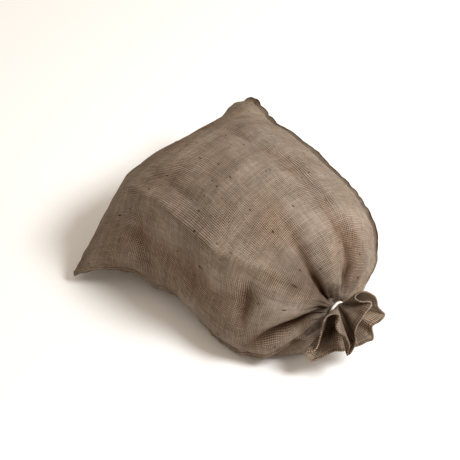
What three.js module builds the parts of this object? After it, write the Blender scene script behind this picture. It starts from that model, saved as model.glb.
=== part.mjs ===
// Filled hessian sack lying on its side: the bottom corners stick out as two ears, the
// mouth is gathered, tied with a white band and fans out beyond the tie as a frill.
// Millimetres, +Z up. The sack runs along +X from its bottom fold to the mouth; its far
// side seam is on the +Y side and its near side seam on the -Y side.
import * as THREE from "three";

// ---- driving dimensions, mm and degrees -------------------------------------------
const PLY = 1.3;             // half the thickness where the two panels lie together
const CLOTH = 2.0;           // thickness of the frill at its hem
const CLOTH_THROAT = 1.0;    // and deep in its throat
const FAR_EDGE = 8.5;        // doubled edge that stands outside the far side seam
const NEAR_EDGE = 3;         // and the little of it that shows at the near one, turned down
const ROLL_UNDER = 0.9;      // degrees the near seam is turned under the belly per mm of tuck
const EDGE_WAVE = 1.6;       // how far that edge wanders up and down
const FLOOR_BLEND = 6;       // height over which the belly rounds off onto the floor
const BOW_POWER = 1.5;       // shape of the outward bow of the bottom fold
const PLEATS = 9;            // small gathers round the neck
const PLEAT_DEPTH = 1.8;
const TIE_WIDTH = 3.5;
const TIE_THICK = 1.5;
const TIE_GAP = 0.6;         // clear space between the tie and the gathered cloth
const TIE_SHARE = 0.963;     // where on the neck it sits
const TIE_STEPS = 36;

const ACROSS_STEPS = 32;     // panels' width is cut into this many strips
const LENGTH_STEPS = 46;     // strips from the bottom fold to the neck
const FRILL_STEPS = 8;
const THROAT_STEPS = 5;      // strips of the frill that are open inside

// ---- cross sections, one row per section from the bottom fold to the neck -----------
// along, across, height: middle of the section; half: half its width; rise and drop: how
// far the top and bottom panels bulge; round: 0 lens, 1 ellipse; bow: how far the middle
// sits behind the seams; roll: degrees the far side is lifted; tuck: near seam pulled under
const SECTIONS = table("along across height half rise drop round bow roll tuck", [
  [23, 1, 59, 179, 2, 2, 0.05, 26, 18, 0],
  [31, 2, 69, 178, 29, 28, 0.15, 25, 17, 1],
  [48, 6, 81, 174, 53, 50, 0.35, 23, 15.5, 4],
  [80, 8, 92, 158, 74, 80, 0.5, 19, 13, 12],
  [135, 12, 98, 144, 95, 101, 0.6, 12, 13, 24],
  [200, 7.5, 94, 139.5, 106, 109, 0.65, 6, 12.5, 28],
  [261, 2.5, 83, 139.5, 100, 101, 0.75, 1, 11, 26],
  [316, -0.5, 70, 122, 83, 81, 0.9, 0, 9.5, 18],
  [347, 0, 58, 85, 62, 58, 1, 0, 8, 6],
  [361, -3, 63, 46, 38, 36, 1, 0, 9, 0],
  [365, -4, 65, 24, 21, 20, 1, 0, 9.5, 0],
  [361, -5.5, 66, 13, 12, 12, 1, 0, 9.5, 0],
  [369.5, -5.5, 67, 11, 10, 10, 1, 0, 10, 0],
]);

// ---- bottom corners, drawn out into ears ---------------------------------------------
const EARS = table("turn reach along across up", [
  [0, 80, -4, 1, 3],
  [180, 50, 3, 5, 7],
]);

// ---- folds: each route is turn (degrees round the sack from the far seam over the top),
// share (bottom fold 0, end of the neck 1) and depth (crests above 0, valleys below) ----
const FOLDS = [
  { width: 28, route: [[108, 0.78, 4], [112, 0.61, 11], [116, 0.54, 12], [120, 0.48, 12], [121, 0.42, 12],
    [120, 0.36, 11], [118, 0.29, 9], [116, 0.22, 6], [114, 0.13, 2]] },
  { width: 20, route: [[124, 0.62, -3], [132, 0.55, -9], [138, 0.48, -10], [139, 0.4, -9], [137, 0.32, -7],
    [134, 0.25, -4]] },
  { width: 13, route: [[104, 0.8, -9], [103, 0.73, -16], [98, 0.66, -16], [94, 0.6, -13], [91, 0.55, -8],
    [89, 0.5, -4], [86, 0.45, -2]] },
  { width: 14, route: [[90, 0.77, 3], [86, 0.72, 8], [80, 0.63, 7], [76, 0.57, 3]] },
  { width: 10, route: [[55, 0.8, -4], [50, 0.7, -10], [60, 0.6, -7], [63, 0.53, -5], [62, 0.45, -4],
    [64, 0.37, -3], [66, 0.29, -2]] },
  { width: 20, route: [[26, 0.79, 8], [15, 0.73, 12], [10, 0.67, 8], [8, 0.6, 3]] },
  { width: 11, route: [[150, 0.79, -5], [151, 0.73, -15], [150, 0.67, -15], [155, 0.62, -10],
    [163, 0.57, -3]] },
  { width: 18, route: [[128, 0.77, 3], [130, 0.7, 8], [134, 0.63, 6], [138, 0.58, 2]] },
  { width: 12, route: [[62, 0.79, -4], [58, 0.72, -7], [54, 0.66, -3]] },
  { width: 12, route: [[24, 0.79, -3], [22, 0.72, -7], [26, 0.66, -3]] },
  { width: 12, route: [[175, 0.77, 3], [166, 0.69, 9], [172, 0.64, 6], [182, 0.6, 3]] },
  { width: 11, route: [[205, 0.78, -3], [187, 0.7, -9], [188, 0.65, -8], [190, 0.6, -2]] },
  { width: 10, route: [[121, 0.55, -3], [129, 0.55, -6], [139, 0.55, -6], [146, 0.56, -2]] },
  { width: 10, route: [[130, 0.26, -1], [139, 0.3, -5], [149, 0.32, -5], [159, 0.34, -3]] },
  { width: 16, route: [[108, 0.27, -2], [113, 0.32, -4], [113, 0.36, -4], [112, 0.4, -2]] },
  { width: 14, route: [[113, 0.14, -1], [135, 0.21, -4], [153, 0.21, -3]] },
  { width: 28, route: [[44, 0.12, -2], [56, 0.16, -7], [68, 0.19, -11], [78, 0.19, -7], [88, 0.16, -1]] },
  { width: 22, route: [[24, 0.1, -1], [36, 0.15, -4], [48, 0.2, -4], [58, 0.22, -1]] },
  { width: 20, route: [[8, 0, 5], [18, 0, 9], [28, 0, 9], [40, 0, 3]] },
  { width: 19, route: [[134, 0.09, 1], [126, 0.1, 3], [118, 0.11, 2], [110, 0.12, 5], [103, 0.13, 8],
    [95, 0.13, 3]] },
  { width: 18, route: [[88, 0.16, -1], [90, 0.22, -4], [86, 0.3, -4], [84, 0.36, -1]] },
  { width: 14, route: [[168, 0.285, -3], [180, 0.285, -5], [190, 0.285, -3]] },
  { width: 9, route: [[168, 0.325, 2], [180, 0.325, 5], [188, 0.33, 3]] },
  { width: 13, route: [[160, 0.385, -2], [180, 0.385, -6], [192, 0.385, -3]] },
  { width: 26, route: [[176, 0.55, -3], [184, 0.585, -7], [200, 0.61, -5]] },
  { width: 14, route: [[-8, 0.18, -3], [0, 0.18, -5], [8, 0.18, -2]] },
  { width: 16, route: [[-8, 0.39, 1], [0, 0.39, 3], [8, 0.39, 1]] },
  { width: 22, route: [[-10, 0.62, -2], [0, 0.62, -4], [8, 0.62, -2]] },
  { width: 20, route: [[-10, 0.285, -3], [0, 0.285, -5], [9, 0.285, -3]] },
  { width: 24, route: [[198, 0.68, 3], [215, 0.7, 12], [235, 0.71, 5]] },
  { width: 16, route: [[232, 0.77, -3], [230, 0.7, -8], [226, 0.62, -4]] },
  { width: 18, route: [[262, 0.77, -3], [262, 0.7, -9], [258, 0.6, -4]] },
  { width: 16, route: [[300, 0.77, -3], [302, 0.7, -9], [306, 0.6, -5], [310, 0.5, -1]] },
  { width: 18, route: [[335, 0.77, -3], [338, 0.7, -8], [342, 0.6, -3]] },
  { width: 15, route: [[42, 0.72, 3], [50, 0.6, 5], [53, 0.52, 5], [52, 0.44, 5], [54, 0.36, 4],
    [57, 0.28, 2]] },
];

// ---- the mouth's edge, one row per bend of the frill ----------------------------------
// turn: where the cloth of that bend comes out of the neck; side, up, forward: its place
// from the end of the neck, in the frame of the mouth, which heads and tilts as below
const MOUTH_HEADING = -33;
const MOUTH_TILT = 12;
const RIM = table("turn side up forward", [
  [0, 38, -12, 30],
  [10, 49, -10, 25],
  [16, 58, -3, 20],
  [24, 49, 9, 18],
  [32, 48, 17, 16],
  [40, 44, 27, 16],
  [48, 33, 36, 17],
  [54, 22, 35, 19],
  [58, 17, 30, 21],
  [62, 24, 24, 23],
  [67, 37, 21, 26],
  [72, 24, 11, 36],
  [77, 13, 3, 44],
  [81, 8, -6, 49],
  [85, 9, -16, 54],
  [88, -3, -29, 59],
  [91, 0, -14, 60],
  [94, -4, -5, 59],
  [98, -12, 5, 57],
  [102, -15, 16, 55],
  [106, -11, 28, 53],
  [112, -14, 31, 52],
  [120, -21, 32, 51],
  [130, -28, 28, 49],
  [141, -32, 18, 46],
  [155, -35, 1, 43],
  [170, -38, -15, 41],
  [185, -43, -27, 40],
  [195, -54, -30, 40],
  [205, -47, -45, 40],
  [218, -34, -41, 41],
  [232, -17, -34, 41],
  [248, -3, -36, 40],
  [266, 12, -33, 39],
  [290, 27, -30, 38],
  [320, 37, -26, 38],
]);

// ---- helpers ---------------------------------------------------------------------------
function table(names, rows) {
  const keys = names.split(" ");
  return rows.map((row) => Object.fromEntries(keys.map((key, i) => [key, row[i]])));
}
const rad = (degrees) => (degrees * Math.PI) / 180;
const clamp = (x, low, high) => Math.min(high, Math.max(low, x));
const mix = (a, b, f) => a + (b - a) * f;
const smooth = (x) => { const f = clamp(x, 0, 1); return f * f * (3 - 2 * f); };

// a smooth curve through four neighbouring values
function curve(p0, p1, p2, p3, f) {
  const quad = 2 * p0 - 5 * p1 + 4 * p2 - p3;
  const cube = -p0 + 3 * p1 - 3 * p2 + p3;
  return 0.5 * (2 * p1 + (p2 - p0) * f + quad * f * f + cube * f * f * f);
}
function along(rows, position, closed) {
  const n = rows.length;
  const i = closed ? Math.floor(position) : Math.min(Math.floor(position), n - 2);
  const f = position - i;
  const pick = (k) => rows[closed ? (k + n) % n : clamp(k, 0, n - 1)];
  const out = {};
  for (const key of Object.keys(rows[0])) {
    out[key] = curve(pick(i - 1)[key], pick(i)[key], pick(i + 1)[key], pick(i + 2)[key], f);
  }
  return out;
}

// ---- the bulged bag, without thickness or folds -----------------------------------------
const sectionAt = (share) => along(SECTIONS, clamp(share, 0, 1) * (SECTIONS.length - 1), false);
const widthWay = (s) => new THREE.Vector3(0, Math.cos(rad(s.roll)), Math.sin(rad(s.roll)));
const depthWay = (s) => new THREE.Vector3(0, -Math.sin(rad(s.roll)), Math.cos(rad(s.roll)));

function sectionPoint(s, turn) {
  const rolled = turn + rad(ROLL_UNDER * s.tuck) * Math.pow(Math.max(-Math.cos(turn), 0), 2);
  const c = Math.cos(rolled), d = Math.sin(rolled);
  const near = Math.pow(Math.max(-c, 0), 3) * s.tuck;
  const w = s.half * c * (1 - near * 0.0018);
  const lens = (1 - s.round) * d * Math.abs(d) + s.round * d;
  const t = (d > 0 ? s.rise : s.drop) * lens - near;
  const x = s.along - s.bow * (1 - Math.pow(Math.abs(c), BOW_POWER));
  return new THREE.Vector3(x, s.across, s.height)
    .addScaledVector(widthWay(s), w).addScaledVector(depthWay(s), t);
}
const EAR_TIPS = EARS.map((ear) => {
  const s = SECTIONS[0];
  return new THREE.Vector3(s.along, s.across, s.height)
    .addScaledVector(widthWay(s), s.half * Math.cos(rad(ear.turn)));
});
function bagPoint(turn, share) {
  const point = sectionPoint(sectionAt(share), turn);
  EARS.forEach((ear, i) => {
    const pull = Math.pow(clamp(1 - point.distanceTo(EAR_TIPS[i]) / ear.reach, 0, 1), 2);
    point.addScaledVector(new THREE.Vector3(ear.along, ear.across, ear.up), pull);
  });
  return point;
}
function bagNormal(turn, share) {
  const step = 0.001;
  const round = bagPoint(turn + step, share).sub(bagPoint(turn - step, share));
  const on = bagPoint(turn, Math.min(share + step, 1)).sub(bagPoint(turn, Math.max(share - step, 0)));
  return round.cross(on).normalize();
}

// ---- folds --------------------------------------------------------------------------------
const FOLD_LINES = FOLDS.map((fold) => {
  const points = [];
  for (let i = 0; i < fold.route.length - 1; i++) {
    for (let k = 0; k < 6; k++) {
      const [turn, share, depth] = fold.route[i].map((v, j) => mix(v, fold.route[i + 1][j], k / 6));
      points.push({ at: bagPoint(rad(turn), share), depth });
    }
  }
  const [turn, share, depth] = fold.route[fold.route.length - 1];
  points.push({ at: bagPoint(rad(turn), share), depth });
  return { width: fold.width, points };
});
function foldDepth(point) {
  let total = 0;
  for (const fold of FOLD_LINES) {
    let best = Infinity, depth = 0;
    for (let i = 0; i < fold.points.length - 1; i++) {
      const a = fold.points[i], b = fold.points[i + 1];
      const line = b.at.clone().sub(a.at);
      const f = clamp(point.clone().sub(a.at).dot(line) / line.lengthSq(), 0, 1);
      const far = point.distanceTo(a.at.clone().addScaledVector(line, f));
      if (far < best) { best = far; depth = mix(a.depth, b.depth, f); }
    }
    const x = best / fold.width;
    total += depth * Math.exp((-x * x) / (1 + 0.35 * x));
  }
  return total;
}
// gathers that run out of the neck, fading both at the tie and towards the belly
function pleatDepth(turn, share) {
  const strength = smooth((share - 0.66) / 0.1) * (1 - smooth((share - 0.8) / 0.1));
  return PLEAT_DEPTH * strength * Math.cos(PLEATS * turn + 1);
}

// ---- the strings of points that run from the bottom fold to the frill's edge --------------
// the ring goes: top panel far to near, near seam edge, bottom panel near to far, far edge
const frillAt = (position) => along(RIM, position, true);
const mouth = (() => {
  const h = rad(MOUTH_HEADING), t = rad(MOUTH_TILT);
  const forward = new THREE.Vector3(Math.cos(h) * Math.cos(t), Math.sin(h) * Math.cos(t), Math.sin(t));
  const side = new THREE.Vector3(-Math.sin(h), Math.cos(h), 0);
  return { forward, side, up: forward.clone().cross(side) };
})();
const rimLine = (() => {
  const steps = RIM.length * 12, list = [];
  let length = 0, last = null;
  for (let i = 0; i <= steps; i++) {
    const position = i / 12;
    const row = frillAt(position);
    if (last) length += Math.hypot(row.side - last.side, row.up - last.up, row.forward - last.forward);
    const a = RIM[Math.floor(position) % RIM.length].turn;
    const b = i === steps ? 360 : (RIM[(Math.floor(position) + 1) % RIM.length].turn || 360);
    const turn = i === steps ? 360 : mix(a, b, position - Math.floor(position));
    list.push({ position, length, turn });
    last = row;
  }
  return list;
})();
function onRim(key, value) {
  let i = 1;
  while (i < rimLine.length - 1 && rimLine[i][key] < value) i++;
  const a = rimLine[i - 1], b = rimLine[i];
  const f = (value - a[key]) / (b[key] - a[key] || 1);
  return { position: mix(a.position, b.position, f), turn: mix(a.turn, b.turn, f) };
}
const rimLength = rimLine[rimLine.length - 1].length;
const rimHalf = rimLine.find((p) => p.turn >= 180).length;

const STRINGS = [];
{
  const half = [];
  const add = (turn, side, edge) => half.push({ turn, side, edge });
  add(0, 1, 1);
  for (let k = 0; k <= ACROSS_STEPS; k++) add((Math.PI * k) / ACROSS_STEPS, 1, 0);
  add(Math.PI, 1, 1);
  half.forEach((s, i) => STRINGS.push({ ...s, rim: onRim("length", ((i + 0.5) / half.length) * rimHalf) }));
  half.forEach((s, i) => STRINGS.push({
    turn: Math.PI + s.turn, side: -1, edge: s.edge,
    rim: onRim("length", rimHalf + ((i + 0.5) / half.length) * (rimLength - rimHalf)),
  }));
}

function clothPoint(string, share) {
  const slide = smooth((share - 0.72) / 0.18);
  const turn = mix(string.turn, rad(string.rim.turn), slide);
  const s = sectionAt(share);
  const outward = Math.sign(Math.cos(string.turn));
  const width = widthWay(s), depth = depthWay(s);
  const point = bagPoint(turn, share);
  const normal = bagNormal(turn, share);
  const calm = 1 - smooth((share - 0.84) / 0.07);
  point.addScaledVector(normal, foldDepth(point) * calm + pleatDepth(turn, share));
  point.addScaledVector(depth, string.side * PLY * (1 - slide));
  if (string.edge) {
    const reach = (1 - smooth((share - 0.6) / 0.16)) * mix(0.35, 1, smooth(share / 0.05));
    if (outward > 0) {
      point.addScaledVector(width, FAR_EDGE * reach);
      point.addScaledVector(depth, EDGE_WAVE * Math.sin(share * 46 + 1) * reach);
    } else {
      point.addScaledVector(width, -NEAR_EDGE * reach).addScaledVector(depth, -NEAR_EDGE * reach);
    }
  }
  const z = point.z;
  if (z < FLOOR_BLEND) point.z = z < -FLOOR_BLEND ? 0 : ((z + FLOOR_BLEND) ** 2) / (4 * FLOOR_BLEND);
  return point;
}
const NECK_END = (() => {
  const s = SECTIONS[SECTIONS.length - 1];
  return new THREE.Vector3(s.along, s.across, s.height);
})();
function frillPoint(string, share) {
  const start = clothPoint(string, 1).sub(NECK_END);
  const edge = frillAt(string.rim.position);
  const spread = 1 - Math.pow(1 - share, 1.25);
  return NECK_END.clone()
    .addScaledVector(start, 1 - spread)
    .addScaledVector(mouth.side, edge.side * spread)
    .addScaledVector(mouth.up, edge.up * spread)
    .addScaledVector(mouth.forward, edge.forward * share);
}

// ---- meshes ----------------------------------------------------------------------------------
function solid(name, rings, closeStart, closeEnd, material) {
  const n = rings[0].length;
  const positions = rings.flat().flatMap((p) => [p.x, p.y, p.z]);
  const index = [];
  for (let r = 0; r < rings.length - 1; r++) {
    for (let k = 0; k < n; k++) {
      const a = r * n + k, b = r * n + ((k + 1) % n), c = a + n, d = b + n;
      index.push(a, b, d, a, d, c);
    }
  }
  index.push(...closeStart(0), ...closeEnd((rings.length - 1) * n));
  const geometry = new THREE.BufferGeometry();
  geometry.setAttribute("position", new THREE.Float32BufferAttribute(positions, 3));
  geometry.setIndex(index);
  geometry.computeVertexNormals();
  const mesh = new THREE.Mesh(geometry, material);
  mesh.name = name;
  return mesh;
}
// joins the top panel's end to the bottom panel's end across the bottom fold
function foldCap(first) {
  const n = STRINGS.length, list = [];
  for (let k = 0; k < n / 2 - 1; k++) {
    const a = first + k, b = first + k + 1, c = first + n - 1 - k, d = first + n - 2 - k;
    list.push(a, c, b, b, c, d);
  }
  return list;
}
// closes the throat of the frill with one face across it
function throatCap(ring) {
  return (first) => {
    const flat = ring.map((p) => {
      const q = p.clone().sub(NECK_END);
      return new THREE.Vector2(q.dot(mouth.side), q.dot(mouth.up));
    });
    const faces = THREE.ShapeUtils.triangulateShape(flat, []);
    return faces.flatMap(([a, b, c]) => [first + a, first + b, first + c]);
  };
}

function sackMesh() {
  const rings = [];
  for (let r = 0; r <= LENGTH_STEPS; r++) {
    rings.push(STRINGS.map((string) => clothPoint(string, r / LENGTH_STEPS)));
  }
  const outer = [];
  for (let r = 0; r <= FRILL_STEPS; r++) {
    outer.push(STRINGS.map((string) => frillPoint(string, r / FRILL_STEPS)));
  }
  rings.push(...outer.slice(1));
  let inner = null;
  for (let r = FRILL_STEPS; r >= FRILL_STEPS - THROAT_STEPS; r--) {
    inner = outer[r].map((p, k) => {
      const n = STRINGS.length;
      const round = outer[r][(k + 1) % n].clone().sub(outer[r][(k + n - 1) % n]);
      const on = outer[Math.min(r + 1, FRILL_STEPS)][k].clone().sub(outer[r - 1][k]);
      const thick = mix(CLOTH, CLOTH_THROAT, (FRILL_STEPS - r) / THROAT_STEPS);
      return p.clone().addScaledVector(round.cross(on).normalize(), -thick);
    });
    rings.push(inner);
  }
  const hessian = new THREE.MeshStandardMaterial({ color: 0x7d6a58, roughness: 0.95, metalness: 0 });
  return solid("sack_cloth", rings, foldCap, throatCap(inner), hessian);
}

// a flat closed band round the neck
function tieMesh() {
  const s = sectionAt(TIE_SHARE);
  const middle = new THREE.Vector3(s.along, s.across, s.height);
  const low = s.half + TIE_GAP, high = low + TIE_THICK;
  const outline = [[low, 0], [low, TIE_WIDTH], [high, TIE_WIDTH], [high, 0]];
  const positions = [], index = [];
  for (let k = 0; k < TIE_STEPS; k++) {
    const a = (2 * Math.PI * k) / TIE_STEPS;
    for (const [radius, x] of outline) {
      const p = middle.clone().add(new THREE.Vector3(x, radius * Math.cos(a), radius * Math.sin(a)));
      positions.push(p.x, p.y, p.z);
    }
    for (let j = 0; j < 4; j++) {
      const next = ((k + 1) % TIE_STEPS) * 4, b = k * 4 + j, c = k * 4 + ((j + 1) % 4);
      index.push(b, c, next + j, c, next + ((j + 1) % 4), next + j);
    }
  }
  const geometry = new THREE.BufferGeometry();
  geometry.setAttribute("position", new THREE.Float32BufferAttribute(positions, 3));
  geometry.setIndex(index);
  geometry.computeVertexNormals();
  const mesh = new THREE.Mesh(geometry, new THREE.MeshStandardMaterial({
    color: 0xf2f1ec, roughness: 0.6, metalness: 0,
  }));
  mesh.name = "neck_tie";
  return mesh;
}

// ---- put together, standing on z = 0 over the middle of its outline ---------------------------
const sack = new THREE.Group();
sack.name = "hessian_sack";
sack.add(sackMesh(), tieMesh());
const box = new THREE.Box3().setFromObject(sack);
for (const mesh of sack.children) {
  mesh.geometry.translate(-(box.min.x + box.max.x) / 2, -(box.min.y + box.max.y) / 2, -box.min.z);
}
export default sack;
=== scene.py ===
import math

import bpy
import numpy as np
from mathutils import Matrix, Vector


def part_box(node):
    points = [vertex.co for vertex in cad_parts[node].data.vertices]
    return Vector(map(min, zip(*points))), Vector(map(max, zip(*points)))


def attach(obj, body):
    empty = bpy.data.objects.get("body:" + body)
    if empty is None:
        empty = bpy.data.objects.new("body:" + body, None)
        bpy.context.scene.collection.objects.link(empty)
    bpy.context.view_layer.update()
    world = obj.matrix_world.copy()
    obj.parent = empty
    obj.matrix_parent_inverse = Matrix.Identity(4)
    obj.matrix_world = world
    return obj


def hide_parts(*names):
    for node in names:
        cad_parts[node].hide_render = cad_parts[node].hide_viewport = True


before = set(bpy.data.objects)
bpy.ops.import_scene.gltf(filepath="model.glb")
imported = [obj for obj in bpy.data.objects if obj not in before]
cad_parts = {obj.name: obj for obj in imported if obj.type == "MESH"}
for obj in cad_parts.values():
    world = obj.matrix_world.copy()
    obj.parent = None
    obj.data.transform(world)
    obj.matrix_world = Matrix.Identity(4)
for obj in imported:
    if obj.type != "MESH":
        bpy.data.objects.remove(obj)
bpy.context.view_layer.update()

# ------------------------------------------------------------------ sack cloth
# One length of coarse hessian, folded at the bottom, sewn up both sides and filled: the panels
# bulge, the bottom corners stick out as ears, and the mouth is gathered at a neck and fans out
# beyond it as a frill. Sizes here are in millimetres and turned to metres last.
MM = 0.001
PANEL_WIDTH = 400.0
# how far the doubled edge stands out past its seam: far side above and below, then near side
EDGE_TOP, EDGE_UNDER, NEAR_EDGE = 8.5, 9.7, 3.0
# half the doubled edge, and the frill's wall at the hem and down in the throat
PLY, HEM_THICK, THROAT_THICK = 1.3, 1.5, 1.0
# the near side turns under by so many degrees, and draws in by such a share, per mm of tuck
ROLL_UNDER, DRAWN_IN = 0.9, 0.0018
# height over which the cloth settles on to the floor, and how sharply a ring's sides bow back
FLOOR_BLEND, BOW_POWER = 6.0, 1.5
# mesh steps over one panel, from fold to neck, out along the frill and back into the throat
ACROSS, ALONG, FRILL, THROAT = 130, 224, 34, 28

# cross-sections from bottom fold to neck: middle along, across and up, half width, rise and drop
# of the panels, roundness, bow, roll and tuck
SECTIONS = np.array([
    (23, 1, 59, 179, 2, 2, 0.05, 26, 18, 0),
    (31, 2, 69, 178, 29, 28, 0.15, 25, 17, 1),
    (48, 6, 81, 174, 53, 50, 0.35, 23, 15.5, 4),
    (80, 8, 92, 158, 74, 80, 0.5, 19, 13, 12),
    (135, 12, 98, 144, 95, 101, 0.6, 12, 13, 24),
    (200, 7.5, 94, 139.5, 106, 109, 0.65, 6, 12.5, 28),
    (261, 2.5, 83, 139.5, 100, 101, 0.75, 1, 11, 26),
    (316, -0.5, 70, 122, 83, 81, 0.9, 0, 9.5, 18),
    (347, 0, 58, 85, 62, 58, 1, 0, 8, 6),
    (361, -3, 63, 46, 38, 36, 1, 0, 9, 0),
    (365, -4, 65, 24, 21, 20, 1, 0, 9.5, 0),
    (361, -5.5, 66, 13, 12, 12, 1, 0, 9.5, 0),
    (369.5, -5.5, 67, 11, 10, 10, 1, 0, 10, 0),
], float)
# the bottom corners' ears: turn, reach, and the pull on them along, across and up
EARS = [(0, 80, (-4, 1, 3)), (180, 50, (3, 5, 7))]
# folds in the cloth: width, crispness, then turn, share and depth at stops along the fold
FOLDS = [
    (28, 0.7, [(108, 0.78, 4), (112, 0.61, 11), (116, 0.54, 12), (120, 0.48, 12), (121, 0.42, 12),
               (120, 0.36, 11), (118, 0.29, 9), (116, 0.22, 6), (114, 0.13, 2)]),
    (20, 0.0, [(124, 0.62, -3), (132, 0.55, -9), (138, 0.48, -10), (139, 0.4, -9),
               (137, 0.32, -7), (134, 0.25, -4)]),
    (13, 0.6, [(104, 0.8, -9), (103, 0.73, -16), (98, 0.66, -16), (94, 0.6, -13),
               (91, 0.55, -8), (89, 0.5, -4), (86, 0.45, -2)]),
    (14, 0.2, [(90, 0.77, 3), (86, 0.72, 8), (80, 0.63, 7), (76, 0.57, 3)]),
    (10, 0.4, [(55, 0.8, -4), (50, 0.7, -10), (60, 0.6, -7), (63, 0.53, -5),
               (62, 0.45, -4), (64, 0.37, -3), (66, 0.29, -2)]),
    (20, 0.0, [(26, 0.79, 8), (15, 0.73, 12), (10, 0.67, 8), (8, 0.6, 3)]),
    (11, 0.6, [(150, 0.79, -5), (151, 0.73, -15), (150, 0.67, -15), (155, 0.62, -10), (163, 0.57, -3)]),
    (18, 0.0, [(128, 0.77, 3), (130, 0.7, 8), (134, 0.63, 6), (138, 0.58, 2)]),
    (12, 0.2, [(62, 0.79, -4), (58, 0.72, -7), (54, 0.66, -3)]),
    (12, 0.3, [(24, 0.79, -3), (22, 0.72, -7), (26, 0.66, -3)]),
    (12, 0.2, [(175, 0.77, 3), (166, 0.69, 9), (172, 0.64, 6), (182, 0.6, 3)]),
    (11, 0.2, [(205, 0.78, -3), (187, 0.7, -9), (188, 0.65, -8), (190, 0.6, -2)]),
    (10, 0.1, [(121, 0.55, -3), (129, 0.55, -6), (139, 0.55, -6), (146, 0.56, -2)]),
    (10, 0.1, [(130, 0.26, -1), (139, 0.3, -5), (149, 0.32, -5), (159, 0.34, -3)]),
    (16, 0.2, [(108, 0.27, -2), (113, 0.32, -4), (113, 0.36, -4), (112, 0.4, -2)]),
    (14, 0.0, [(113, 0.14, -1), (135, 0.21, -4), (153, 0.21, -3)]),
    (28, 0.0, [(44, 0.12, -2), (56, 0.16, -7), (68, 0.19, -11), (78, 0.19, -7), (88, 0.16, -1)]),
    (22, 0.0, [(24, 0.1, -1), (36, 0.15, -4), (48, 0.2, -4), (58, 0.22, -1)]),
    (20, 0.0, [(8, 0, 5), (18, 0, 9), (28, 0, 9), (40, 0, 3)]),
    (19, 0.0, [(134, 0.09, 1), (126, 0.1, 3), (118, 0.11, 2), (110, 0.12, 5), (103, 0.13, 8),
               (95, 0.13, 3)]),
    (18, 0.2, [(88, 0.16, -1), (90, 0.22, -4), (86, 0.3, -4), (84, 0.36, -1)]),
    (14, 0.2, [(168, 0.285, -3), (180, 0.285, -5), (190, 0.285, -3)]),
    (9, 0.2, [(168, 0.325, 2), (180, 0.325, 5), (188, 0.33, 3)]),
    (13, 0.2, [(160, 0.385, -2), (180, 0.385, -6), (192, 0.385, -3)]),
    (26, 0.2, [(176, 0.55, -3), (184, 0.585, -7), (200, 0.61, -5)]),
    (14, 0.2, [(-8, 0.18, -3), (0, 0.18, -5), (8, 0.18, -2)]),
    (16, 0.2, [(-8, 0.39, 1), (0, 0.39, 3), (8, 0.39, 1)]),
    (22, 0.2, [(-10, 0.62, -2), (0, 0.62, -4), (8, 0.62, -2)]),
    (20, 0.2, [(-10, 0.285, -3), (0, 0.285, -5), (9, 0.285, -3)]),
    (24, 0.2, [(198, 0.68, 3), (215, 0.7, 12), (235, 0.71, 5)]),
    (16, 0.2, [(232, 0.77, -3), (230, 0.7, -8), (226, 0.62, -4)]),
    (18, 0.2, [(262, 0.77, -3), (262, 0.7, -9), (258, 0.6, -4)]),
    (16, 0.2, [(300, 0.77, -3), (302, 0.7, -9), (306, 0.6, -5), (310, 0.5, -1)]),
    (18, 0.2, [(335, 0.77, -3), (338, 0.7, -8), (342, 0.6, -3)]),
    (15, 0.2, [(42, 0.72, 3), (50, 0.6, 5), (53, 0.52, 5), (52, 0.44, 5), (54, 0.36, 4),
               (57, 0.28, 2)]),
]
# fine creases pressed into the cloth, laid out in the same way
CREASES = [
    (5, 0.6, [(121, 0.27, -1), (129, 0.29, -3.5), (137, 0.296, -3.5), (142, 0.306, -1)]),
    (6, 0.5, [(110, 0.31, -1), (112, 0.35, -3), (112, 0.38, -3), (112, 0.4, -1)]),
    (6, 0.5, [(64, 0.3, -1), (65, 0.38, -2), (59, 0.44, -3), (58, 0.51, -3), (57, 0.56, -3),
              (54, 0.61, -3), (44, 0.66, -2)]),
    (7, 0.5, [(119, 0.54, -1), (130, 0.546, -4), (138, 0.551, -4), (146, 0.56, -1)]),
    (6, 0.4, [(225, 0.75, -2), (180, 0.7, -4), (170, 0.62, -2)]),
    (8, 0.6, [(108, 0.76, 3), (112, 0.6, 3), (116, 0.54, 4), (120, 0.48, 4), (121, 0.42, 4),
              (120, 0.36, 4), (118, 0.29, 4), (116, 0.22, 3), (114, 0.17, 1)]),
    (7, 0.3, [(150, 0.2, -1), (146, 0.26, -3), (150, 0.33, -2)]),
    (7, 0.3, [(90, 0.5, 1), (84, 0.42, 2), (80, 0.34, 1)]),
    (6, 0.4, [(76, 0.77, -2), (72, 0.7, -3), (70, 0.62, -2)]),
    (6, 0.4, [(122, 0.77, -2), (124, 0.7, -3), (126, 0.64, -1)]),
    (6, 0.4, [(139, 0.78, -2), (139, 0.72, -3), (140, 0.66, -1)]),
    (6, 0.4, [(165, 0.77, -2), (163, 0.71, -3), (166, 0.66, -1)]),
    (5, 0.6, [(98, 0.66, -2), (102, 0.72, -6), (104, 0.79, -9), (104, 0.83, -8)]),
    (8, 0.5, [(157, 0.6, -3), (152, 0.66, -7), (151, 0.72, -8), (150, 0.79, -7), (150, 0.83, -5)]),
    (6, 0.5, [(41, 0.65, -2), (39, 0.72, -5), (38, 0.8, -4)]),
    (5, 0.5, [(12, 0.66, -2), (10, 0.72, -4), (12, 0.79, -3)]),
    (7, 0.3, [(30, 0.64, 2), (31, 0.7, 4), (32, 0.77, 3)]),
]
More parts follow.
